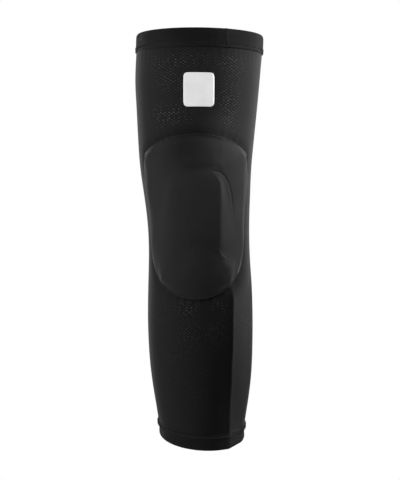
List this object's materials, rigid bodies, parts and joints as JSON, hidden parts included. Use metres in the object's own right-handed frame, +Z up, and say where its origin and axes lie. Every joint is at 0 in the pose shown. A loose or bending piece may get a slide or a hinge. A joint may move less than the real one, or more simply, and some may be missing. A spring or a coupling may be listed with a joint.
{
  "type": "padded knee sleeve",
  "caption": "Long black knitted sleeve worn over the knee and shin, open at both ends, with a moulded foam knee pad on its front, elastic end bands and a plain reflective patch.",
  "frame": {"origin": "middle of the wearer's knee, inside the tube, where the leg holds the sleeve", "axes": "+Z up the thigh, -Y the front with the pad, +X the side the shin's crest lies on"},
  "size_m": [0.1428, 0.1684, 0.4627],
  "materials": {
    "knit": "black stretch knit with small staggered eyelets and a soft sheen",
    "elastic": "smooth black elastic band, fine upright rib",
    "pad_cover": "smooth black jersey bonded over moulded foam",
    "reflective": "light grey heat-bonded reflective film"
  },
  "bodies": {
    "root": {"sleeve_body": "knit", "top_band": "elastic", "bottom_band": "elastic", "knee_pad": "pad_cover", "reflective_patch": "reflective"}
  },
  "joints": []
}
